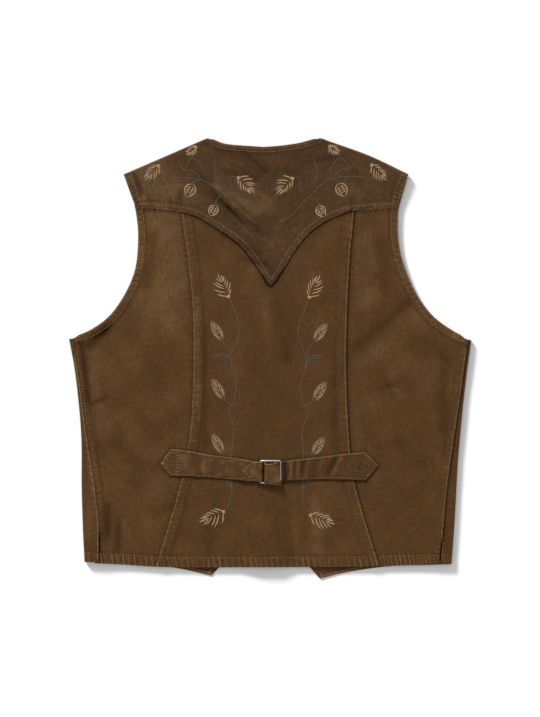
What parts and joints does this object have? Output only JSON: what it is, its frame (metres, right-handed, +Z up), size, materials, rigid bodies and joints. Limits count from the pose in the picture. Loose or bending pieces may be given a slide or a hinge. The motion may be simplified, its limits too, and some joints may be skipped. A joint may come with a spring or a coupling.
{
  "type": "western vest",
  "caption": "Sleeveless canvas western vest laid out face down, with a pointed back yoke, shaped back panels, an adjustable waist strap with a slide buckle, and pointed fronts.",
  "frame": {"origin": "on the surface that the vest lies on, under the middle of its box", "axes": "+Y from hem to neck, +Z up out of the surface, -X towards the vest's own left side, with the back facing up"},
  "size_m": [0.5474, 0.601, 0.0139],
  "materials": {
    "canvas": "washed cotton canvas, matt",
    "yoke_canvas": "washed cotton canvas, matt, slightly greyer",
    "buckle": "worn nickel plate",
    "buttons": "dark horn look"
  },
  "bodies": {
    "root": {"back_center": "canvas", "back_side_left": "canvas", "back_side_right": "canvas", "back_yoke": "yoke_canvas", "front_left": "canvas", "front_right": "canvas", "strap_left": "canvas", "strap_right": "canvas", "buckle": "buckle", "button_1": "buttons", "button_2": "buttons", "button_3": "buttons", "button_4": "buttons", "button_5": "buttons"}
  },
  "joints": []
}
